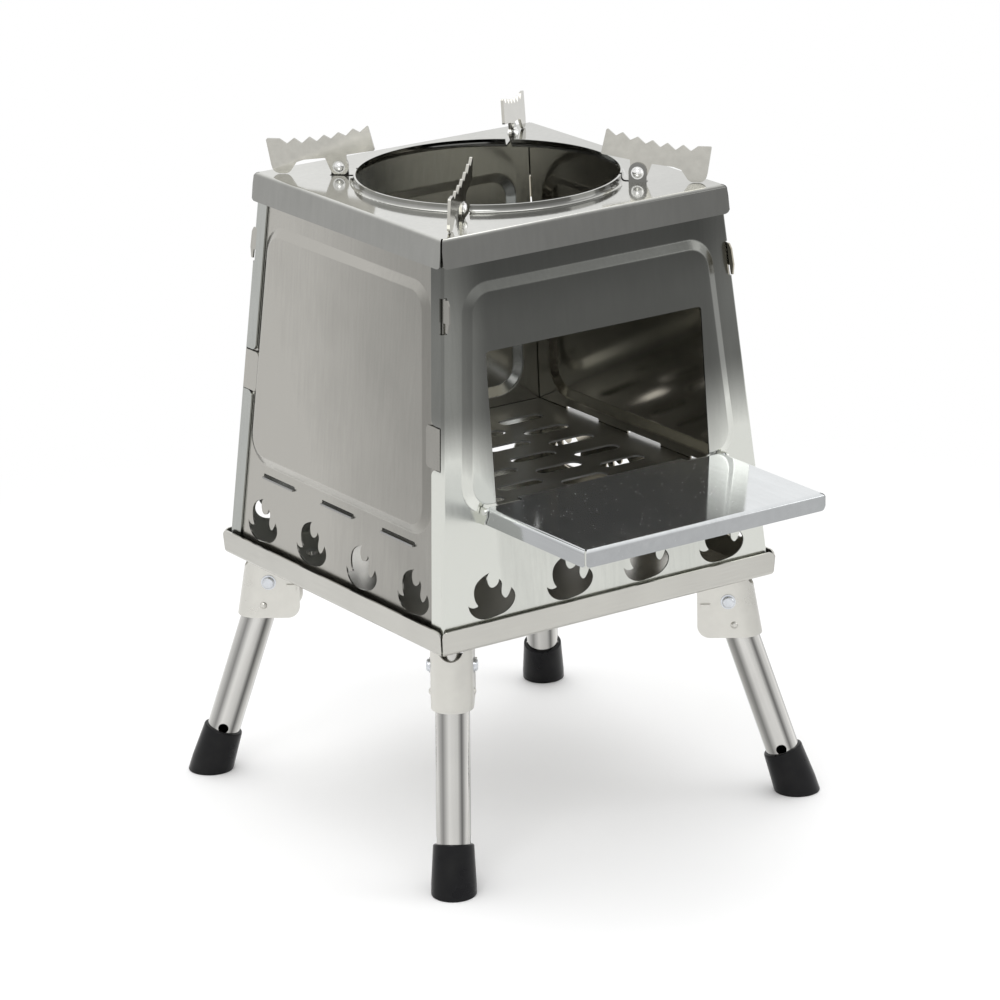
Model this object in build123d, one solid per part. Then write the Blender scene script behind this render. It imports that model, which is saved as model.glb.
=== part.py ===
from build123d import *
import os
from math import atan, cos, degrees, radians, sin, sqrt, tan

os.makedirs("parts", exist_ok=True)

# A folding tower stove standing on level ground. Millimetres, Z up.
# The origin lies on the ground under the tower's axis; the feed door faces -Y.

# driving sizes
gap = 0.3                # clear space between faces that pass each other
pin_fit = 0.06           # radial play of a pin in the hole that turns on it
tray_half = 124.0        # half width of the tray at its floor
tray_spread = 1.0        # how far a tray lip leans out
tray_z = 145.0           # underside of the tray
tray_lip = 15.5
tray_sheet = 1.2
lid_half = tray_half - 19.8  # half width of the lid at its top
lid_spread = 2.0
lid_z = 393.7            # top face of the lid
lid_lip = 17.6
lid_sheet = 1.2
bend = 2.6               # outer radius of the folded edges
wall_sheet = 1.0
wall_lean = 0.0826       # how far a wall leans in for each millimetre of height
field_rise = 3.0         # how far the pressed field stands out of a wall
field_soft = 3.0         # radius of the bends round that field
flange = 12.0            # width of the front and back walls' side flanges
opening_half = 79.0      # feed opening
opening_low = 230.6
opening_high = 322.7
grate_z = 204.0          # top face of the grate
door_half = 88.0
door_reach = 101.0       # from the hinge to the shelf's front edge
door_lip = 10.5
hole_r = 81.0            # inside of the raised rim round the pot hole
rim_rise = 4.5
rivet_r = 92.5           # distance of a blade's rivet from the axis
rivet_up = 5.6           # height of that rivet above the lid
blade_shift = 1.6        # sideways place of a blade beside the corner's diagonal
blade_lean = 5.0         # degrees the ears, and the blades on them, lean sideways
blade_sheet = 1.8
tube_r = 10.5
tube_wall = 1.2
splay = 18.2             # degrees a leg leans out
leg_r = tray_half + 22.3  # distance of a leg's pivot from the axis
leg_z = 130.4
leg_twist = 8.5          # degrees a leg's swing is turned, so folded legs miss each other
bracket_sheet = 1.8
bolt_r = 2.5

corners = {"front_left": 225, "front_right": 315, "back_right": 45, "back_left": 135}

# the walls hang between the tray floor and the lid
lean = degrees(atan(wall_lean))
wall_low = tray_z + tray_sheet + gap
wall_high = lid_z - lid_sheet - gap
wall_half_low = tray_half - tray_sheet - 0.7


def half(z):
    return wall_half_low - wall_lean * (z - wall_low)


def up(z):
    return z / cos(radians(lean))


wall_plane = Plane(
    origin=(0, -half(0), 0),
    x_dir=(1, 0, 0),
    z_dir=(0, -cos(radians(lean)), sin(radians(lean))),
)


def turned(shape, angle):
    return Rot(0, 0, angle) * shape


def save(shape, name):
    export_step(shape, "parts/" + name + ".step")


def rounded(points, radius, low=-1e9, high=1e9):
    # closed outline whose corners between two heights are rounded
    face = make_face(Polyline(*points, close=True))
    picked = [v for v in face.vertices() if low < v.Y < high]
    return fillet(picked, radius)


def lip_strip(sheet, reach, spread, rise, start, end, corner, cut_start, cut_end):
    # one folded lip along Y; its outer face stands at x = reach and it rises along +Z
    root = reach - 3 * bend
    section = Plane.XZ * make_face(
        Polyline(
            (root, 0),
            (reach, 0),
            (reach + spread, rise),
            (reach + spread - sheet, rise),
            (reach - sheet, sheet),
            (root, sheet),
            close=True,
        )
    )
    inner = section.vertices().sort_by_distance((reach - sheet, 0, sheet))[0]
    section = fillet(inner, bend - sheet)
    outer = section.vertices().sort_by_distance((reach, 0, 0))[0]
    section = fillet(outer, bend)
    strip = extrude(section, amount=-(end - start))
    strip = Pos(0, start, 0) * strip
    # seams at the corners run on the diagonal
    wide = 30.0
    seam = 0.8
    first = start if cut_start else start - 2 * wide
    last = end if cut_end else end + 2 * wide
    slope_a = 1 if cut_start else 0
    slope_b = 1 if cut_end else 0
    wedge = make_face(
        Polyline(
            (reach - wide, first + slope_a * (wide + seam)),
            (reach + wide, first - slope_a * (wide - seam)),
            (reach + wide, last + slope_b * (wide - seam)),
            (reach - wide, last - slope_b * (wide + seam)),
            close=True,
        )
    )
    strip = strip & Pos(0, 0, -1) * extrude(wedge, amount=rise + 2)
    # the free edge's corners are round
    a = start - (spread - seam if cut_start else 0)
    b = end + (spread - seam if cut_end else 0)
    outline = make_face(Polyline((a, -1), (b, -1), (b, rise), (a, rise), close=True))
    tops = outline.vertices().group_by(Axis.Y)[-1].sort_by(Axis.X)
    picked = [tops[0]] if cut_start else []
    picked = picked + ([tops[1]] if cut_end else [])
    outline = fillet(picked, corner)
    prism = extrude(Plane.YZ * outline, amount=reach + 2 * wide)
    return strip & prism


def square_pan(sheet, reach, spread, rise, corner):
    side = 2 * (reach - bend)
    pan = extrude(Rectangle(side, side), amount=sheet)
    strip = lip_strip(sheet, reach, spread, rise, -reach, reach, corner, True, True)
    for turn in range(4):
        pan = pan + turned(strip, 90 * turn)
    return pan


# tray: a flat pan with four lips
tray = Pos(0, 0, tray_z) * square_pan(tray_sheet, tray_half, tray_spread, tray_lip, 5.0)

# leg bracket: a bent channel wrapped round the outer side of the tube, under the tray
channel_in = tube_r + 0.7
channel_out = channel_in + bracket_sheet
bracket_low = 106.5
axis_low = leg_r + (leg_z - bracket_low) * tan(radians(splay))
cap_low = axis_low + tube_r / cos(radians(splay)) + 0.5 - channel_in
cap_high = leg_r + 1.7
bracket_in = leg_r - 19.3
plate_in = leg_r - 33.3
bracket_high = tray_z


def channel(width):
    # plan of the channel swept from its lower edge to its top, with a round outer side
    low = SlotCenterToCenter(80, 2 * width)
    lower = Plane.XY.offset(bracket_low) * Pos(cap_low - 40, 0) * low
    upper = Plane.XY.offset(bracket_high) * Pos(cap_high - 40, 0) * low
    return loft([lower.faces()[0], upper.faces()[0]], ruled=True)


bracket = channel(channel_out) - channel(channel_in)
side_outline = rounded(
    [(bracket_in, bracket_low), (200, bracket_low), (200, bracket_high), (bracket_in, bracket_high)],
    8.0,
    bracket_low - 1,
    bracket_low + 1,
)
bracket = bracket & Plane.XZ * extrude(side_outline, amount=60, both=True)
bracket = bracket - Pos(cap_high + 20, 0, bracket_high + 0.5) * Rot(0, 90, 0) * Cylinder(8.0, 40)
plate_long = leg_r - 4 - plate_in
plate = Pos(plate_in + plate_long / 2, 0, bracket_high - bracket_sheet / 2)
bracket = bracket + plate * Box(plate_long, 2 * channel_out, bracket_sheet)
bolt_axis = Pos(leg_r, 0, leg_z) * Rot(90, 0, 0)
bracket = bracket - bolt_axis * Cylinder(bolt_r + pin_fit, 60)
plate_rivet_r = plate_in + 6.5
plate_rivet_hole = 2.0
bracket = bracket - Pos(plate_rivet_r, 0, bracket_high) * Cylinder(plate_rivet_hole, 10)
for side in (-1, 1):
    dimple = Pos(leg_r + 3.7, side * (channel_out - 1.2), leg_z - 15.4) * Sphere(2.6)
    lug = Pos(leg_r - 14.3, side * (channel_out + 0.4), leg_z - 3.4) * Box(6.0, 1.6, 4.0)
    bracket = bracket + (dimple - Box(500, 2 * channel_in + 1, 500)) + lug

# rivet that holds the bracket's plate to the tray floor
plate_rivet = Pos(plate_rivet_r, 0, tray_z) * Cylinder(plate_rivet_hole, 2 * bracket_sheet + 1.0)
for level in (tray_z + tray_sheet + 0.6, tray_z - bracket_sheet - 0.6):
    plate_rivet = plate_rivet + Pos(plate_rivet_r, 0, level) * Cylinder(3.4, 1.2)

# pivot bolt: shank through bracket and tube, a washer and a low round head at each end
bolt = Cylinder(bolt_r, 2 * channel_out)
washer_high = 0.7
head_high = 1.8
bolt_head = Cylinder(3.8, head_high)
bolt_head = fillet(bolt_head.edges().group_by(Axis.Z)[-1], 1.3)
bolt_end = Pos(0, 0, channel_out + washer_high / 2) * Cylinder(4.7, washer_high)
bolt_end = bolt_end + Pos(0, 0, channel_out + washer_high + head_high / 2) * bolt_head
bolt = bolt + bolt_end + mirror(bolt_end, Plane.XY)
bolt = bolt_axis * bolt

# leg tube, modelled upright on its own axis and then leaned out
tube_top = 7.0
leg_long = leg_z / cos(radians(splay))
foot_floor = 4.0
foot_r_top = 12.4
foot_r_low = 13.75
foot_high = 30.0
cut_low = foot_r_low * tan(radians(splay))
tube_low = leg_long - cut_low - foot_floor
lean_leg = Pos(leg_r, 0, leg_z) * Rot(0, -splay, 0)
tube = Pos(0, 0, (tube_top - tube_low) / 2) * Cylinder(tube_r, tube_top + tube_low)
tube = tube - Pos(0, 0, (tube_top - tube_low) / 2) * Cylinder(tube_r - tube_wall, 400)
tube = tube - Rot(90, 0, 0) * Cylinder(bolt_r + pin_fit, 60)
tube = tube - Pos(0, 0, -leg_long + foot_high + 2.5) * Rot(90, 0, 0) * Cylinder(3.3, 60)
tube = lean_leg * tube

# foot: a rubber cup cut level with the ground
foot_profile = Plane.XZ * make_face(
    Polyline(
        (0, -leg_long - 8),
        (foot_r_low, -leg_long - 8),
        (foot_r_low, -leg_long + 6),
        (foot_r_top, -leg_long + foot_high),
        (0, -leg_long + foot_high),
        close=True,
    )
)
foot = revolve(foot_profile, axis=Axis.Z)
foot = fillet(foot.edges().group_by(Axis.Z)[-1], 1.2)
foot = foot - Pos(0, 0, -tube_low + 50) * Cylinder(tube_r, 100)
foot = lean_leg * foot
foot = foot - Pos(leg_r + 50, 0, -50) * Box(200, 100, 100)
foot = fillet(foot.edges().group_by(Axis.Z)[0], 0.8)

for corner, angle in corners.items():
    shift = Pos(leg_r, 0, 0) * Rot(0, 0, leg_twist) * Pos(-leg_r, 0, 0)
    hole = turned(shift * Pos(plate_rivet_r, 0, tray_z) * Cylinder(plate_rivet_hole, 10), angle)
    tray = tray - hole
    save(turned(shift * bracket, angle), "bracket_" + corner)
    save(turned(shift * plate_rivet, angle), "bracket_rivet_" + corner)
    save(turned(shift * bolt, angle), "leg_bolt_" + corner)
    save(turned(shift * tube, angle), "leg_tube_" + corner)
    save(turned(shift * foot, angle), "foot_" + corner)
save(tray, "tray")

# walls: outlines are drawn on the front wall's outer face and turned to the other sides
side_inset = wall_sheet + gap   # the side walls lie this far under the flanges


def band(z0, z1, inset0, inset1):
    # strip that follows the right-hand tapered edge of a wall
    return [
        (half(z0) - inset1, up(z0)),
        (half(z0) - inset0, up(z0)),
        (half(z1) - inset0, up(z1)),
        (half(z1) - inset1, up(z1)),
    ]


def both_sides(shape):
    return shape + mirror(shape, Plane.YZ)


def on_wall(face, low, high):
    # prism on the wall's plane between two distances from its outer face
    return wall_plane * Pos(0, 0, low) * extrude(face, amount=high - low)


def tapered_box(z0, z1, inset):
    # block with four leaning sides
    width = 2 * (half(z0) - inset)
    base = Plane.XY.offset(z0) * Rectangle(width, width)
    return extrude(base, amount=z1 - z0, taper=lean)


def leaning_edges(block):
    return [e for e in block.edges() if abs(e.tangent_at(0.5).Z) > 0.5]


wall_bend = 2.0
skin = wall_sheet / cos(radians(lean))
outer_block = tapered_box(wall_low, wall_high, 0)
outer_block = fillet(leaning_edges(outer_block), wall_bend)
inner_block = tapered_box(wall_low - 2, wall_high + 2, skin)
inner_block = fillet(leaning_edges(inner_block), wall_bend - wall_sheet)
shell = outer_block - inner_block

# pressed field: a raised panel with sloping sides
field_margin = 13.5
field_low = 211.0
front_field_low = 225.0   # the front wall's field ends just under the feed opening
field_high = 364.0
field_slope = 6.0
field_radius = 19.0
field_taper = degrees(atan(field_slope / field_rise))
field_back = wall_sheet * tan(atan(field_rise / field_slope) / 2)


def field_points(inset, bottom):
    a = half(bottom) - field_margin - inset
    b = half(field_high) - field_margin - inset
    low = up(bottom) + inset
    high = up(field_high) - inset
    return [(-a, low), (a, low), (b, high), (-b, high)]


def field_edges(wall, level, bottom):
    # edges of the pressed field that lie at one distance from the wall's outer face
    found = []
    for edge in wall.edges():
        ends = [wall_plane.to_local_coords(edge @ t) for t in (0, 0.5, 1)]
        flat = all(abs(p.Z - level) < 0.01 for p in ends)
        side = all(abs(p.X) < half(p.Y * cos(radians(lean))) - field_margin + 1 for p in ends)
        if flat and side and all(up(bottom) - 1 < p.Y < up(field_high) + 1 for p in ends):
            found.append(edge)
    return found


def press(wall, depth, bottom):
    # depth is where the wall's outer face lies under the flanges
    front = rounded(field_points(0, bottom), field_radius)
    back = rounded(field_points(field_back, bottom), field_radius)
    raised = extrude(Pos(0, 0, -depth - wall_sheet / 2) * front, amount=wall_sheet / 2)
    raised = raised + extrude(Pos(0, 0, -depth) * front, amount=field_rise, taper=field_taper)
    hollow = extrude(Pos(0, 0, -depth - wall_sheet) * back, amount=field_rise, taper=field_taper)
    wall = (wall + wall_plane * raised) - wall_plane * hollow
    # the press leaves its bend lines round
    for level, soft in (
        (field_rise - depth, field_soft),
        (-depth, field_soft),
        (field_rise - depth - wall_sheet, field_soft - wall_sheet),
        (-depth - wall_sheet, field_soft + wall_sheet),
    ):
        wall = fillet(field_edges(wall, level, bottom), soft)
    return wall


# flame cut-out, drawn about its own centre
flame_pitch = 57.0
flame_z = 176.0
tip = (0.4, 13.1)
second = (6.7, 7.9)
third = (15.1, 1.2)
left_tip = (-16.3, -4.2)
notch_point = (-9.2, -5.6)
flame_wire = Wire(
    [
        Spline(tip, (-1.6, 8.4), (1.2, 3.7), (4.9, 4.6), second),
        Spline(second, (8.7, 4.4), (8.3, -1.8), (10.8, -4.4), (13.2, -2.5), third),
        Spline(third, (17.2, -6.6), (11.9, -12.1), (2.4, -14.4), (-7.0, -14.4), (-13.4, -10.8), left_tip),
        ThreePointArc(left_tip, (-12.2, -6.3), notch_point),
        Spline(notch_point, (-11.7, 0.6), (-10.2, 7.3), (-5.9, 10.8), tip),
    ]
)
flame = make_face(flame_wire)
flame_cut = Sketch()
for step in (-1.5, -0.5, 0.5, 1.5):
    flame_cut = flame_cut + Pos(step * flame_pitch, up(flame_z)) * flame

# gap in each flange, where a tab of the side wall shows
tab_low = 255.0
tab_high = 281.5
hook_low = 337.5
hook_high = 358.0
hook_neck = 344.0
far = 40.0


def rounded_band(z0, z1, inset0, inset1, radius):
    # strip whose two corners away from the edge are round
    face = make_face(Polyline(*band(z0, z1, inset0, inset1), close=True))
    ends = [v for v in face.vertices() if abs(v.X - (half(z0) - inset1)) < 0.01 and abs(v.Y - up(z0)) < 0.01]
    ends = ends + [v for v in face.vertices() if abs(v.X - (half(z1) - inset1)) < 0.01 and abs(v.Y - up(z1)) < 0.01]
    return fillet(ends, radius)


def flanged_wall(bottom):
    slab = wall_plane * Pos(0, 300, -wall_bend / 2 + 1) * Box(600, 900, wall_bend + 2)
    strips = rounded_band(wall_low - 1, tab_low, -far, flange, 4.0)
    strips = strips + rounded_band(tab_high, wall_high + 1, -far, flange, 4.0)
    reach = on_wall(strips, -wall_sheet - 0.5, 1)
    left = turned(reach, -90)
    right = turned(mirror(reach, Plane.YZ), 90)
    wall = shell & (slab + left + right)
    # slots near the corners for the side walls' hooks
    slot_face = make_face(
        Polyline(*band(hook_low - 0.5, hook_high + 0.5, -1.0, side_inset + wall_sheet + 0.8), close=True)
    )
    slots = on_wall(slot_face, -wall_sheet - 2, 2)
    wall = wall - both_sides(slots)
    wall = press(wall, 0, bottom)
    return wall - on_wall(flame_cut, -wall_sheet - 1, 1)


back_panel = turned(flanged_wall(field_low), 180)

# front wall: feed opening, and two lugs that carry the door
door_up = opening_low    # top face of the open door
hinge_drop = 2.2         # the hinge axis lies this far under that face
hinge_z = door_up - hinge_drop
hinge_out = 2.6          # distance of the hinge axis from the pressed field
hinge_y = -half(hinge_z) - (field_rise + hinge_out) / cos(radians(lean))
hinge_pin = 1.1
tongue_half = 61.0       # the door's rear edge goes into the opening between these
tongue_back = 6.6        # and ends this far behind the hinge axis
door_low = door_up - door_lip
lug_in = door_half + gap
lug_thick = 1.2
relief_low = hinge_z - tongue_back - 0.8
opening = make_face(
    Polyline(
        (-opening_half, up(opening_low - 1.3)),
        (opening_half, up(opening_low - 1.3)),
        (opening_half, up(opening_high)),
        (-opening_half, up(opening_high)),
        close=True,
    )
)
opening = fillet(opening.vertices(), 2.5)
relief_high = up(opening_low + 5) - up(relief_low)
relief = Pos(0, up(relief_low) + relief_high / 2) * Rectangle(2 * tongue_half + 2, relief_high)
front_panel = flanged_wall(front_field_low) - on_wall(opening + relief, -8, 8)


def wall_y(z, out):
    # place of the front wall's face, or of a face that stands out of it
    return -half(z) - out


lug_face = make_face(
    Polyline(
        (hinge_y - 2.4, hinge_z + 2.4),
        (wall_y(hinge_z + 2.4, field_rise) + 0.5, hinge_z + 2.4),
        (wall_y(front_field_low, 0) + 0.5, front_field_low),
        (wall_y(door_low, 0) + 0.5, door_low),
        (hinge_y + 1.0, door_low),
        (hinge_y - 2.4, hinge_z - 2.4),
        close=True,
    )
)
lug_face = fillet([v for v in lug_face.vertices() if v.X < hinge_y - 2], 1.6)
lug = Pos(lug_in, 0, 0) * extrude(Plane.YZ * lug_face, amount=lug_thick)
lug = lug - Pos(0, hinge_y, hinge_z) * Rot(0, 90, 0) * Cylinder(hinge_pin, 400)
front_panel = front_panel + both_sides(lug)

# side walls: flat plates under the flanges, with tabs, hooks and slots for the grate
side_wide = wall_sheet + 0.8
side_face = make_face(
    Polyline(
        (-half(wall_low) + side_wide, up(wall_low)),
        (half(wall_low) - side_wide, up(wall_low)),
        (half(wall_high) - side_wide, up(wall_high)),
        (-half(wall_high) + side_wide, up(wall_high)),
        close=True,
    )
)
hook_out = 5.0
hook_face = make_face(
    Polyline(
        (half(hook_neck) - 4, up(hook_neck)),
        (half(hook_neck) + 1.2, up(hook_neck)),
        (half(hook_low) + 1.2, up(hook_low + 1)),
        (half(hook_low) + 3.0, up(hook_low + 1)),
        (half(hook_neck) + hook_out, up(hook_neck + 1)),
        (half(hook_high) + hook_out, up(hook_high - 3)),
        (half(hook_high) + hook_out - 2, up(hook_high)),
        (half(hook_high) - 4, up(hook_high)),
        close=True,
    )
)
tab_gap = 0.7
tab_face = rounded_band(tab_low + tab_gap, tab_high - tab_gap, wall_bend + gap, flange + 5.0, 3.0)
step_face = rounded_band(tab_low + tab_gap, tab_high - tab_gap, flange + 3.0, flange + 5.0, 0.8)
slot_long = 36.0
slot_high = 3.2
grate_sheet = 1.2
slot_pitch = 67.5
slot_low = grate_z - grate_sheet - 0.2

side_wall = on_wall(side_face + both_sides(hook_face), -side_inset - wall_sheet, -side_inset)
side_wall = side_wall + both_sides(on_wall(tab_face, -wall_sheet + 0.5, 0.5))
side_wall = side_wall + both_sides(on_wall(step_face, -side_inset - wall_sheet / 2, 0))
side_wall = press(side_wall, side_inset, field_low)
slot_cut = Sketch()
for step in (-1, 0, 1):
    middle = up(slot_low) + slot_high / 2
    slot_cut = slot_cut + Pos(step * slot_pitch, middle) * RectangleRounded(slot_long, slot_high, 1.0)
side_wall = side_wall - on_wall(slot_cut + flame_cut, -side_inset - wall_sheet - 1, 1)
left_panel = turned(side_wall, -90)
right_panel = turned(side_wall, 90)

save(front_panel, "front_panel")
save(back_panel, "back_panel")
save(left_panel, "left_panel")
save(right_panel, "right_panel")

# grate: a flat plate with staggered slots, hung by its tabs in the side walls
grate_low = grate_z - grate_sheet
grate_x = half(grate_low) - side_inset - skin - 0.8
grate_y = half(grate_low) - skin - 0.8
grate = Rectangle(2 * grate_x, 2 * grate_y)
for step in (-1, 0, 1):
    grate = grate + Pos(0, step * slot_pitch) * Rectangle(2 * (half(grate_z) + 0.3), slot_long - 1.0)
bar_slots = Sketch()
bar_pitch = 28.0
column_pitch = 39.0
for column in range(-2, 3):
    stagger = bar_pitch / 2 if column % 2 else 0
    rows = range(-4, 4) if column % 2 else range(-3, 4)
    for row in rows:
        place = Pos(column * column_pitch, row * bar_pitch + stagger)
        bar_slots = bar_slots + place * SlotOverall(33.0, 10.5)
grate = extrude(Plane.XY.offset(grate_low) * (grate - bar_slots), amount=grate_sheet)
save(grate, "grate")

# hinge pins of the door, held in the front wall's lugs
pin_in = door_half - wall_sheet - 0.5
pin_long = lug_in + lug_thick - pin_in
for name, side in (("left", -1), ("right", 1)):
    pin = Cylinder(hinge_pin, pin_long) + Pos(0, 0, pin_long / 2 + 0.4) * Cylinder(1.9, 0.8)
    pin = Pos(pin_in + pin_long / 2, hinge_y, hinge_z) * Rot(0, 90, 0) * pin
    save(pin if side > 0 else mirror(pin, Plane.YZ), "door_pin_" + name)

# feed door: a flat plate with three lips, lying open as a shelf
door_back = hinge_y + 0.6
door_front = hinge_y - door_reach


def flipped(shape):
    return Rot(180, 0, 0) * shape


floor_long = door_back - door_front - bend
door = Pos(0, door_back - floor_long / 2, -wall_sheet / 2)
door = door * Box(2 * (door_half - bend), floor_long, wall_sheet)
tongue_long = tongue_back + 5.0
tongue = Pos(0, hinge_y + tongue_back - tongue_long / 2, -wall_sheet / 2)
door = door + tongue * Box(2 * tongue_half, tongue_long, wall_sheet)
side_lip = lip_strip(wall_sheet, door_half, 0, door_lip, door_front, hinge_y, 3.0, True, False)
side_lip = mirror(side_lip, Plane.XY)
door = door + side_lip + mirror(side_lip, Plane.YZ)
front_lip = lip_strip(wall_sheet, -door_front, 0, door_lip, -door_half, door_half, 3.0, True, True)
door = door + turned(mirror(front_lip, Plane.XY), -90)
door = Pos(0, 0, door_up) * door
ear_face = Plane.YZ * Pos(hinge_y, hinge_z) * Circle(2.1)
stop_high = front_field_low - 1.5
stop_gap = 0.4           # the lip's rear end stops the open door against the wall
stop_face = Plane.YZ * make_face(
    Polyline(
        (hinge_y - 6, door_low),
        (wall_y(door_low, stop_gap), door_low),
        (wall_y(stop_high, stop_gap), stop_high),
        (hinge_y + 2.0, stop_high + 2.2),
        (hinge_y + 2.0, hinge_z),
        (hinge_y - 6, hinge_z),
        close=True,
    )
)
ear = Pos(door_half - wall_sheet, 0, 0) * extrude(ear_face + stop_face, amount=wall_sheet)
door = door + both_sides(ear)
door = door - Pos(0, hinge_y, hinge_z) * Rot(0, 90, 0) * Cylinder(hinge_pin + pin_fit, 400)
save(door, "feed_door")

# lid: a pan turned over, with a raised rim round the pot hole
lid = flipped(square_pan(lid_sheet, lid_half, lid_spread, lid_lip, 4.5))
rim_bend = 2.5
rim_root = hole_r + lid_sheet + rim_bend
lid = lid - Cylinder(rim_root, 20)
rim_up = rim_bend
rim = Plane.XZ * make_face(
    Wire(
        [
            Line((rim_root + 1, 0), (rim_root, 0)),
            RadiusArc((rim_root, 0), (hole_r + lid_sheet, rim_up), rim_bend),
            Line((hole_r + lid_sheet, rim_up), (hole_r + lid_sheet, rim_rise)),
            Line((hole_r + lid_sheet, rim_rise), (hole_r, rim_rise)),
            Line((hole_r, rim_rise), (hole_r, rim_up)),
            RadiusArc((hole_r, rim_up), (rim_root, -lid_sheet), -rim_bend - lid_sheet),
            Line((rim_root, -lid_sheet), (rim_root + 1, -lid_sheet)),
            Line((rim_root + 1, -lid_sheet), (rim_root + 1, 0)),
        ]
    )
)
rim = revolve(rim, axis=Axis.Z)
lid = Pos(0, 0, lid_z) * (lid + rim)

# at each corner: a slot for the folding blade and an ear bent up beside it
seat = Pos(0, blade_shift, lid_z) * Rot(-blade_lean, 0, 0)
ear_gap = blade_sheet / 2 + gap
ear_half = 5.5
ear_middle = rivet_up + 0.8
slot_end = rivet_r + 5.7
slot_wide = 2.5
rivet_pin = 2.0
slot = seat * Pos((hole_r - 4 + slot_end) / 2, (slot_wide - ear_gap) / 2, 0)
slot = slot * Box(slot_end - hole_r + 4, ear_gap + slot_wide, 30)
ear_side = Plane.XZ * (
    Pos(rivet_r, ear_middle) * Circle(ear_half)
    + Pos(rivet_r, (ear_middle - lid_sheet) / 2) * Rectangle(2 * ear_half, ear_middle + lid_sheet)
)
lid_ear = seat * Pos(0, -ear_gap, 0) * extrude(ear_side, amount=lid_sheet)
rivet_hole = seat * Pos(rivet_r, 0, rivet_up) * Rot(90, 0, 0) * Cylinder(rivet_pin, 30)
for angle in corners.values():
    lid = lid - turned(slot, angle)
for angle in corners.values():
    lid = lid + turned(lid_ear, angle) - turned(rivet_hole, angle)
save(lid, "lid")

# pot-support blade, drawn about its rivet in radius and height
blade_points = [
    (-19.2, 27.1),
    (-13.7, 22.2),
    (-9.5, 24.5),
    (-4.9, 19.7),
    (-0.2, 21.9),
    (4.5, 17.6),
    (8.9, 20.0),
    (13.5, 15.7),
    (18.0, 18.6),
    (22.9, 14.2),
    (27.6, 17.6),
    (32.3, 13.8),
    (36.7, 16.9),
    (45.2, 16.9),
    (42.7, 0.7),
    (41.3, -5.2),
    (31.6, -5.2),
    (26.6, 2.2),
    (21.9, 3.9),
    (8.4, 5.5),
    (5.6, -2.0),
    (-4.8, -1.0),
    (-4.8, 7.8),
    (-22.9, 11.0),
]
blade_face = make_face(Polyline(*blade_points, close=True))
blade_foot = [v for v in blade_face.vertices() if v.Y < -5]
blade_face = fillet(blade_foot, 5.0)
blade_face = fillet([v for v in blade_face.vertices() if v.Y > -1.1 or v.X < 8], 0.9)
blade_face = blade_face + Circle(5.9)
blade_face = blade_face - Circle(rivet_pin + pin_fit)
blade = extrude(Plane.XZ * blade_face, amount=blade_sheet / 2, both=True)
blade = seat * Pos(rivet_r, 0, rivet_up) * blade

# rivet with two flanged domed heads through blade and ear
head_r = 3.1
head_up = 1.6
brim = 0.5
dome_r = (head_r * head_r + head_up * head_up) / (2 * head_up)
dome = Pos(0, 0, head_up - dome_r) * Sphere(dome_r) & Pos(0, 0, head_up / 2) * Box(20, 20, head_up)
dome = Pos(0, 0, brim) * dome + Pos(0, 0, brim / 2) * Cylinder(3.9, brim)
blade_side = blade_sheet / 2 + 0.1
rivet_long = blade_side + ear_gap + lid_sheet
rivet = Pos(0, 0, rivet_long / 2) * Cylinder(rivet_pin, rivet_long)
rivet = rivet + Pos(0, 0, rivet_long) * dome + mirror(dome, Plane.XY)
rivet = seat * Pos(rivet_r, blade_side, rivet_up) * Rot(90, 0, 0) * rivet

for corner, angle in corners.items():
    save(turned(blade, angle), "pot_blade_" + corner)
    save(turned(rivet, angle), "blade_rivet_" + corner)
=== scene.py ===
import bpy
import math
from mathutils import Matrix, Vector

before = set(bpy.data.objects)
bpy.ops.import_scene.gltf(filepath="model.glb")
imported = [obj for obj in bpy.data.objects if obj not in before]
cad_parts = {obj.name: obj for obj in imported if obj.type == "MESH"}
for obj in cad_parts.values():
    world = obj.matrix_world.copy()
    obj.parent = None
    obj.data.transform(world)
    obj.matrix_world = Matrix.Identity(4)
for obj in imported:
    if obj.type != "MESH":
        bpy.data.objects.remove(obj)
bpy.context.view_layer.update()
bpy.ops.object.select_all(action="DESELECT")

corners = ("front_left", "front_right", "back_right", "back_left")


# Tray: one sheet of satin stainless steel, about 1.2 mm, cut out and folded up into four lips.
# The lips meet at open seams; faces that turn upward are painted lighter and the upright lips darker,
# as painted light.
cloud_scale = 24
grain_depth = 0.0002
brightest_tone = 1.1


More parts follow.
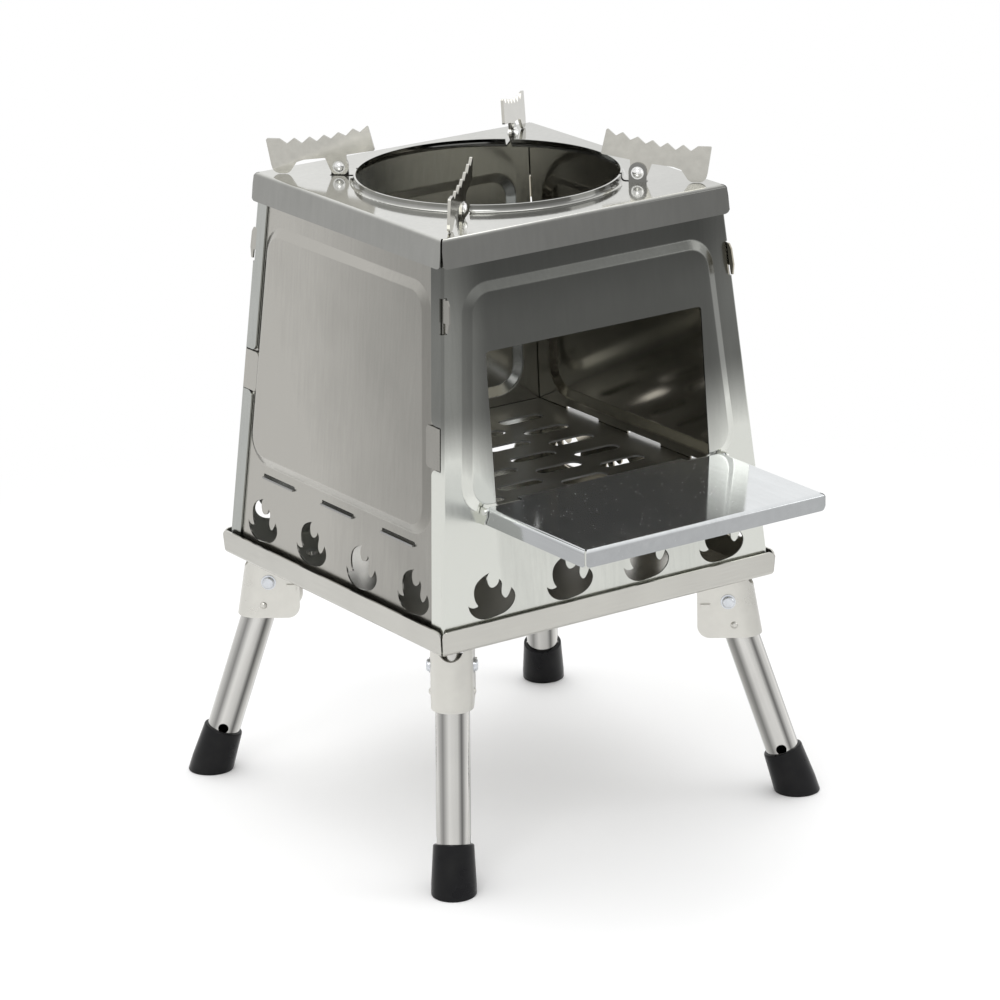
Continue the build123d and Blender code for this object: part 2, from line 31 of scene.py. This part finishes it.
def finish(
    name,
    color,
    rough,
    grain=(500, 500, 8),
    bump=0.015,
    spread=0.03,
    painted_light_by_place=(),
    painted_light_by_facing=(),
    lean=None,
    bands=None,
    specks=0,
):
    # rolled steel: fine lines along the grain, a faint cloud of polish, and painted reflections and
    # painted shade:
    # tones that change along the object's own axes and with the way a face turns, set to what the
    # sheets mirror in the photograph
    mat = bpy.data.materials.new(name)
    mat.use_nodes = True
    tree = mat.node_tree
    shader = tree.nodes["Principled BSDF"]
    shader.inputs["Metallic"].default_value = 1.0
    place = tree.nodes.new("ShaderNodeTexCoord")
    spot = place.outputs["Object"]
    if lean:
        # grain and bands follow a part that leans out of the upright
        centre, around, angle = lean
        turn = tree.nodes.new("ShaderNodeVectorRotate")
        turn.rotation_type = "AXIS_ANGLE"
        turn.inputs["Center"].default_value = centre
        turn.inputs["Axis"].default_value = around
        turn.inputs["Angle"].default_value = angle
        tree.links.new(spot, turn.inputs["Vector"])
        spot = turn.outputs["Vector"]

    def noise(stretch, detail):
        squeeze = tree.nodes.new("ShaderNodeMapping")
        squeeze.inputs["Scale"].default_value = stretch
        tree.links.new(spot, squeeze.inputs["Vector"])
        node = tree.nodes.new("ShaderNodeTexNoise")
        node.inputs["Scale"].default_value = 1.0
        node.inputs["Detail"].default_value = detail
        tree.links.new(squeeze.outputs["Vector"], node.inputs["Vector"])
        return node.outputs["Fac"]

    def span(value, low, high, to_low, to_high, smooth=False):
        node = tree.nodes.new("ShaderNodeMapRange")
        if smooth:
            node.interpolation_type = "SMOOTHSTEP"
        node.inputs["From Min"].default_value = low
        node.inputs["From Max"].default_value = high
        node.inputs["To Min"].default_value = to_low
        node.inputs["To Max"].default_value = to_high
        tree.links.new(value, node.inputs["Value"])
        return node.outputs["Result"]

    def join(a, b, mode="MULTIPLY"):
        node = tree.nodes.new("ShaderNodeMath")
        node.operation = mode
        tree.links.new(a, node.inputs[0])
        tree.links.new(b, node.inputs[1])
        return node.outputs["Value"]

    lines = noise(grain, 3.0)
    clouds = noise((cloud_scale, cloud_scale, cloud_scale), 3.0)
    tone = span(lines, 0.3, 0.7, 1 - spread, 1 + spread)
    tone = join(tone, span(clouds, 0.3, 0.7, 0.96, 1.04))
    split = tree.nodes.new("ShaderNodeSeparateXYZ")
    tree.links.new(place.outputs["Object"], split.inputs["Vector"])
    # painted reflections and shade: tones that change with place along the object's own axes
    for axis, low, high, to_low, to_high in painted_light_by_place:
        tone = join(tone, span(split.outputs[axis], low, high, to_low, to_high, smooth=True))
    # painted light and shade: tones that change with the way a face turns, in the object's own axes
    normal = tree.nodes.new("ShaderNodeSeparateXYZ")
    tree.links.new(place.outputs["Normal"], normal.inputs["Vector"])
    for axis, low, high, to_low, to_high in painted_light_by_facing:
        tone = join(tone, span(normal.outputs[axis], low, high, to_low, to_high, smooth=True))
    if bands:
        # painted reflection: a round polished part mirrors the room as bright and dark bands along
        # its length, painted here into its colour
        shift = tree.nodes.new("ShaderNodeVectorMath")
        shift.operation = "SUBTRACT"
        shift.inputs[1].default_value = lean[0]
        tree.links.new(spot, shift.inputs[0])
        flat = tree.nodes.new("ShaderNodeSeparateXYZ")
        tree.links.new(shift.outputs["Vector"], flat.inputs["Vector"])
        bearing = join(flat.outputs["Y"], flat.outputs["X"], "ARCTAN2")
        ramp = tree.nodes.new("ShaderNodeValToRGB")
        stops = ramp.color_ramp.elements
        for index, (where, level) in enumerate(bands):
            stop = stops[index] if index < 2 else stops.new(where)
            stop.position = where
            stop.color = (level, level, level, 1)
        tree.links.new(span(bearing, -math.pi, math.pi, 0, 1), ramp.inputs["Fac"])
        tone = join(tone, ramp.outputs["Color"])
    # the tones together never make the steel brighter than this
    limit = tree.nodes.new("ShaderNodeMath")
    limit.operation = "MINIMUM"
    limit.inputs[1].default_value = brightest_tone
    tree.links.new(tone, limit.inputs[0])
    tone = limit.outputs["Value"]
    mix = tree.nodes.new("ShaderNodeMix")
    mix.data_type = "RGBA"
    mix.blend_type = "MULTIPLY"
    mix.inputs["Factor"].default_value = 1.0
    mix.inputs["A"].default_value = (*color, 1)
    tree.links.new(tone, mix.inputs["B"])
    tree.links.new(mix.outputs["Result"], shader.inputs["Base Color"])
    cloudy = span(clouds, 0.3, 0.7, rough * 0.85, rough * 1.15)
    blur = join(cloudy, span(lines, 0.3, 0.7, 0.93, 1.07))
    if specks:
        # small nicks and dust that spread the mirror
        cells = tree.nodes.new("ShaderNodeTexVoronoi")
        cells.inputs["Scale"].default_value = specks
        tree.links.new(spot, cells.inputs["Vector"])
        blur = join(blur, span(cells.outputs["Distance"], 0.05, 0.09, 0.55, 0.0), "MAXIMUM")
    tree.links.new(blur, shader.inputs["Roughness"])
    relief = tree.nodes.new("ShaderNodeBump")
    relief.inputs["Strength"].default_value = bump
    relief.inputs["Distance"].default_value = grain_depth
    tree.links.new(lines, relief.inputs["Height"])
    tree.links.new(relief.outputs["Normal"], shader.inputs["Normal"])
    return mat


def dress(node, mat):
    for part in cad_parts[node].material_slots:
        part.material = mat


tray_steel = finish(
    "tray_steel",
    (0.60, 0.59, 0.55),
    0.22,
    grain=(40, 40, 900),
    painted_light_by_facing=(("Z", 0.3, 0.8, 0.83, 1.0),),
)
dress("tray", tray_steel)

# Leg brackets: channels bent from thicker sheet, in a fine satin and riveted under the tray.
# They are painted a little brighter on the left, where the key lamp stands: painted light.
bracket_steel = finish(
    "bracket_steel",
    (0.60, 0.59, 0.55),
    0.3,
    grain=(120, 120, 120),
    bump=0.006,
    painted_light_by_facing=(("X", -1.0, 1.0, 1.08, 0.8),),
)
bright_rivet = finish("bright_rivet", (0.80, 0.80, 0.79), 0.12, grain=(300, 300, 300))
for corner in corners:
    dress("bracket_" + corner, bracket_steel)
    dress("bracket_rivet_" + corner, bright_rivet)

# Leg bolts: zinc-plated steel, a washer and a low round head at each end.
# The plating is slightly blue and uneven.
zinc = finish("zinc", (0.62, 0.64, 0.67), 0.22, grain=(220, 220, 220), spread=0.06)
for corner in corners:
    dress("leg_bolt_" + corner, zinc)

# Leg tubes: thin drawn tube, polished along its length, with long bright and dark bands of painted
# reflection.
# The bands turn with each leg's own axis, from the hinge it folds about.
splay = math.radians(18.2)
twist = math.radians(8.5)
pivot_reach = 0.1463
pivot_height = 0.1304
bearings = {"front_left": 225, "front_right": 315, "back_right": 45, "back_left": 135}
tube_reflection_bands = (
    (0.0, 0.62),
    (1.0, 0.62),
    (0.06, 0.30),
    (0.12, 0.80),
    (0.20, 0.66),
    (0.24, 0.16),
    (0.28, 0.62),
    (0.34, 0.90),
    (0.38, 0.28),
    (0.43, 0.72),
    (0.50, 0.60),
    (0.545, 0.14),
    (0.58, 0.55),
    (0.615, 0.20),
    (0.66, 0.95),
    (0.73, 0.98),
    (0.78, 0.40),
    (0.84, 0.22),
    (0.90, 0.75),
)
for corner, bearing in bearings.items():
    out = math.radians(bearing)
    pivot = (pivot_reach * math.cos(out), pivot_reach * math.sin(out), pivot_height)
    across = (-math.sin(out + twist), math.cos(out + twist), 0)
    tube_steel = finish(
        "tube_steel_" + corner,
        (0.80, 0.79, 0.76),
        0.14,
        grain=(420, 420, 9),
        lean=(pivot, across, splay),
        bands=tube_reflection_bands,
    )
    dress("leg_tube_" + corner, tube_steel)

# Feet: moulded black rubber cups pushed over the tube ends, nearly matt, with dust in the grain.
rubber = bpy.data.materials.new("rubber")
rubber.use_nodes = True
tree = rubber.node_tree
shader = tree.nodes["Principled BSDF"]
place = tree.nodes.new("ShaderNodeTexCoord")
pits = tree.nodes.new("ShaderNodeTexNoise")
pits.inputs["Scale"].default_value = 900
tree.links.new(place.outputs["Object"], pits.inputs["Vector"])
dust = tree.nodes.new("ShaderNodeTexNoise")
dust.inputs["Scale"].default_value = 60
dust.inputs["Detail"].default_value = 5
tree.links.new(place.outputs["Object"], dust.inputs["Vector"])
ramp = tree.nodes.new("ShaderNodeValToRGB")
ramp.color_ramp.elements[0].position = 0.35
ramp.color_ramp.elements[0].color = (0.004, 0.004, 0.005, 1)
ramp.color_ramp.elements[1].position = 0.75
ramp.color_ramp.elements[1].color = (0.011, 0.011, 0.011, 1)
tree.links.new(dust.outputs["Fac"], ramp.inputs["Fac"])
tree.links.new(ramp.outputs["Color"], shader.inputs["Base Color"])
shader.inputs["Specular IOR Level"].default_value = 0.16
rough = tree.nodes.new("ShaderNodeMapRange")
rough.inputs["To Min"].default_value = 0.22
rough.inputs["To Max"].default_value = 0.36
tree.links.new(dust.outputs["Fac"], rough.inputs["Value"])
tree.links.new(rough.outputs["Result"], shader.inputs["Roughness"])
relief = tree.nodes.new("ShaderNodeBump")
relief.inputs["Strength"].default_value = 0.12
relief.inputs["Distance"].default_value = 0.0003
tree.links.new(pits.outputs["Fac"], relief.inputs["Height"])
tree.links.new(relief.outputs["Normal"], shader.inputs["Normal"])
for corner in corners:
    dress("foot_" + corner, rubber)

# Walls: thin satin sheet, brushed upright, with a pressed field. The front wall is painted dark under
# the lid's edge and painted bright below the shelf, as painted shade and painted reflection; the
# right wall, seen from inside, is smoother and browner.
# painted reflections and shade: dark above the shelf and under the lid, bright at the margins,
# lighter on slopes facing up or right
front_steel = finish(
    "front_steel",
    (0.62, 0.63, 0.59),
    0.2,
    grain=(500, 500, 9),
    painted_light_by_place=(
        ("Z", 0.216, 0.290, 1.0, 0.135),
        ("Z", 0.33, 0.375, 1.0, 0.66),
        ("X", -0.104, -0.074, 2.5, 1.0),
        ("X", 0.080, 0.104, 1.0, 1.5),
    ),
    painted_light_by_facing=(("Z", 0.20, 0.52, 1.0, 2.2), ("X", 0.15, 0.42, 1.0, 2.0), ("X", -0.42, -0.15, 0.75, 1.0)),
)
# painted shade on the left wall: darker towards the front and the top, lighter on faces that turn up
side_steel = finish(
    "side_steel",
    (0.40, 0.39, 0.36),
    0.22,
    grain=(500, 500, 9),
    painted_light_by_place=(("Y", -0.10, 0.10, 0.75, 1.18), ("Z", 0.17, 0.36, 1.08, 0.92)),
    painted_light_by_facing=(("Z", 0.20, 0.52, 1.0, 1.35), ("Y", -0.42, -0.15, 0.8, 1.0)),
)
# painted highlight on the right wall's upward-facing slopes
warm_steel = finish(
    "warm_steel",
    (0.44, 0.41, 0.34),
    0.13,
    grain=(500, 500, 9),
    painted_light_by_facing=(("Z", 0.20, 0.52, 1.0, 1.35),),
)
back_steel = finish("back_steel", (0.42, 0.43, 0.41), 0.2, grain=(500, 500, 9))
dress("front_panel", front_steel)
dress("back_panel", back_steel)
dress("left_panel", side_steel)
dress("right_panel", warm_steel)

# Grate: flat steel plate with punched slots, rougher than the walls and coloured darker than them.
# Its grain runs across the tower.
grate_steel = finish("grate_steel", (0.30, 0.30, 0.295), 0.33, grain=(40, 300, 300), bump=0.006)
dress("grate", grate_steel)

# Feed door: mirror-rolled sheet with three lips, hinged on two short pins.
# The lips are painted darker than the top face, as painted shade, and the top face carries small
# specks.
door_steel = finish(
    "door_steel",
    (0.72, 0.74, 0.75),
    0.08,
    grain=(200, 20, 200),
    bump=0.01,
    painted_light_by_facing=(("Z", 0.2, 0.8, 0.56, 1.0),),
    specks=260,
)
door_steel.node_tree.nodes["Principled BSDF"].inputs["Metallic"].default_value = 0.95
dress("feed_door", door_steel)
dress("door_pin_left", bright_rivet)
dress("door_pin_right", bright_rivet)

# Lid: mirror-rolled sheet folded down on four sides, with a drawn rim round the pot hole.
# Its front and left flanges are painted darker than the top, and the top darker towards the right:
# painted shade.
lid_steel = finish(
    "lid_steel",
    (0.60, 0.60, 0.57),
    0.1,
    grain=(300, 300, 30),
    bump=0.01,
    painted_light_by_place=(("X", -0.11, 0.11, 1.06, 0.88),),
    painted_light_by_facing=(("Y", -0.98, -0.35, 0.26, 1.0), ("X", -0.98, -0.35, 0.45, 1.0)),
)
dress("lid", lid_steel)

# Pot blades: laser-cut plate, brushed, a little straw-coloured from heat.
# The rivets they turn on are bright.
blade_steel = finish("blade_steel", (0.50, 0.49, 0.45), 0.2, grain=(200, 200, 200), spread=0.05)
for corner in corners:
    dress("pot_blade_" + corner, blade_steel)
    dress("blade_rivet_" + corner, bright_rivet)

# Floor: a plain white sheet that keeps the stove's shadow and fades into the white background.
# Past the fade it is clear to lamps, and white to the camera and in what the steel mirrors.
floor_radius = 2.5
fade_start = 0.22
fade_end = 0.75


def link_max(tree, first, second):
    node = tree.nodes.new("ShaderNodeMath")
    node.operation = "MAXIMUM"
    tree.links.new(first, node.inputs[0])
    tree.links.new(second, node.inputs[1])
    return node.outputs["Value"]


def seen_directly(tree):
    # 1 for camera, glossy and transmission rays, and 0 for the rest
    ray = tree.nodes.new("ShaderNodeLightPath")
    glossy = link_max(tree, ray.outputs["Is Camera Ray"], ray.outputs["Is Glossy Ray"])
    return link_max(tree, glossy, ray.outputs["Is Transmission Ray"])


bpy.ops.mesh.primitive_circle_add(vertices=96, radius=floor_radius, fill_type="NGON")
floor = bpy.context.object
floor.name = "floor"
paper = bpy.data.materials.new("paper")
paper.use_nodes = True
tree = paper.node_tree
tree.nodes.clear()
out = tree.nodes.new("ShaderNodeOutputMaterial")
white = tree.nodes.new("ShaderNodeBsdfDiffuse")
white.inputs["Color"].default_value = (0.93, 0.93, 0.93, 1)
glow = tree.nodes.new("ShaderNodeEmission")
glow.inputs["Strength"].default_value = 1.0
clear = tree.nodes.new("ShaderNodeBsdfTransparent")
place = tree.nodes.new("ShaderNodeTexCoord")
reach = tree.nodes.new("ShaderNodeVectorMath")
reach.operation = "LENGTH"
tree.links.new(place.outputs["Object"], reach.inputs[0])
fade = tree.nodes.new("ShaderNodeMapRange")
fade.interpolation_type = "SMOOTHSTEP"
fade.inputs["From Min"].default_value = fade_start
fade.inputs["From Max"].default_value = fade_end
tree.links.new(reach.outputs["Value"], fade.inputs["Value"])
far = tree.nodes.new("ShaderNodeMixShader")
tree.links.new(seen_directly(tree), far.inputs["Fac"])
tree.links.new(clear.outputs["BSDF"], far.inputs[1])
tree.links.new(glow.outputs["Emission"], far.inputs[2])
blend = tree.nodes.new("ShaderNodeMixShader")
tree.links.new(fade.outputs["Result"], blend.inputs["Fac"])
tree.links.new(white.outputs["BSDF"], blend.inputs[1])
tree.links.new(far.outputs["Shader"], blend.inputs[2])
tree.links.new(blend.outputs["Shader"], out.inputs["Surface"])
floor.data.materials.append(paper)

# Surroundings: plain white, both to the camera and as the light that falls on the stove.
# The two are kept apart so that the light can be set without greying the background.
background_level = 1.0
ambient_level = 1.0
world = bpy.data.worlds.new("room")
bpy.context.scene.world = world
world.use_nodes = True
tree = world.node_tree
tree.nodes.clear()
out = tree.nodes.new("ShaderNodeOutputWorld")
background = tree.nodes.new("ShaderNodeBackground")
background.inputs["Color"].default_value = (1, 1, 1, 1)
background.inputs["Strength"].default_value = background_level
ambient = tree.nodes.new("ShaderNodeBackground")
ambient.inputs["Color"].default_value = (1, 1, 1, 1)
ambient.inputs["Strength"].default_value = ambient_level
choose = tree.nodes.new("ShaderNodeMixShader")
tree.links.new(seen_directly(tree), choose.inputs["Fac"])
tree.links.new(ambient.outputs["Background"], choose.inputs[1])
tree.links.new(background.outputs["Background"], choose.inputs[2])
tree.links.new(choose.outputs["Shader"], out.inputs["Surface"])

# Lamps: three soft square boxes, from the front left, from above and from the front right.
# All are aimed at the middle of the stove.
lamp_target = Vector((0, 0, 0.2))
for name, spot, power, size in (
    ("key", (-1.3, -1.1, 1.9), 12, 1.2),
    ("top", (0.3, 0.6, 2.0), 9, 1.4),
    ("fill", (1.6, -1.2, 0.9), 5, 1.0),
):
    bpy.ops.object.light_add(type="AREA", location=spot)
    lamp = bpy.context.object
    lamp.name = name
    lamp.data.shape = "SQUARE"
    lamp.data.size = size
    lamp.data.energy = power
    lamp.rotation_euler = (lamp_target - Vector(spot)).to_track_quat("-Z", "Y").to_euler()

# Camera: the photograph's view, from the front left and a little above, through a long lens.
# Its values come from the fit to the stove's corners in the photograph.
camera_turn = math.radians(-34.02)
camera_rise = math.radians(18.16)
camera_roll = math.radians(-1.25)
camera_distance = 3.26342
aim = Vector((0.14397, 0.20797, 0.10363))
bpy.ops.object.camera_add()
camera = bpy.context.object
camera.name = "camera"
camera.data.sensor_width = 36
camera.data.lens = 172.8
camera.data.clip_end = 50
view = Matrix.Rotation(camera_turn, 4, "Z")
view = view @ Matrix.Rotation(math.pi / 2 - camera_rise, 4, "X")
view = view @ Matrix.Rotation(camera_roll, 4, "Z")
back = view @ Vector((0, 0, 1))
camera.matrix_world = Matrix.Translation(aim + back * camera_distance) @ view
bpy.context.scene.camera = camera
bpy.context.scene.view_settings.view_transform = "Standard"
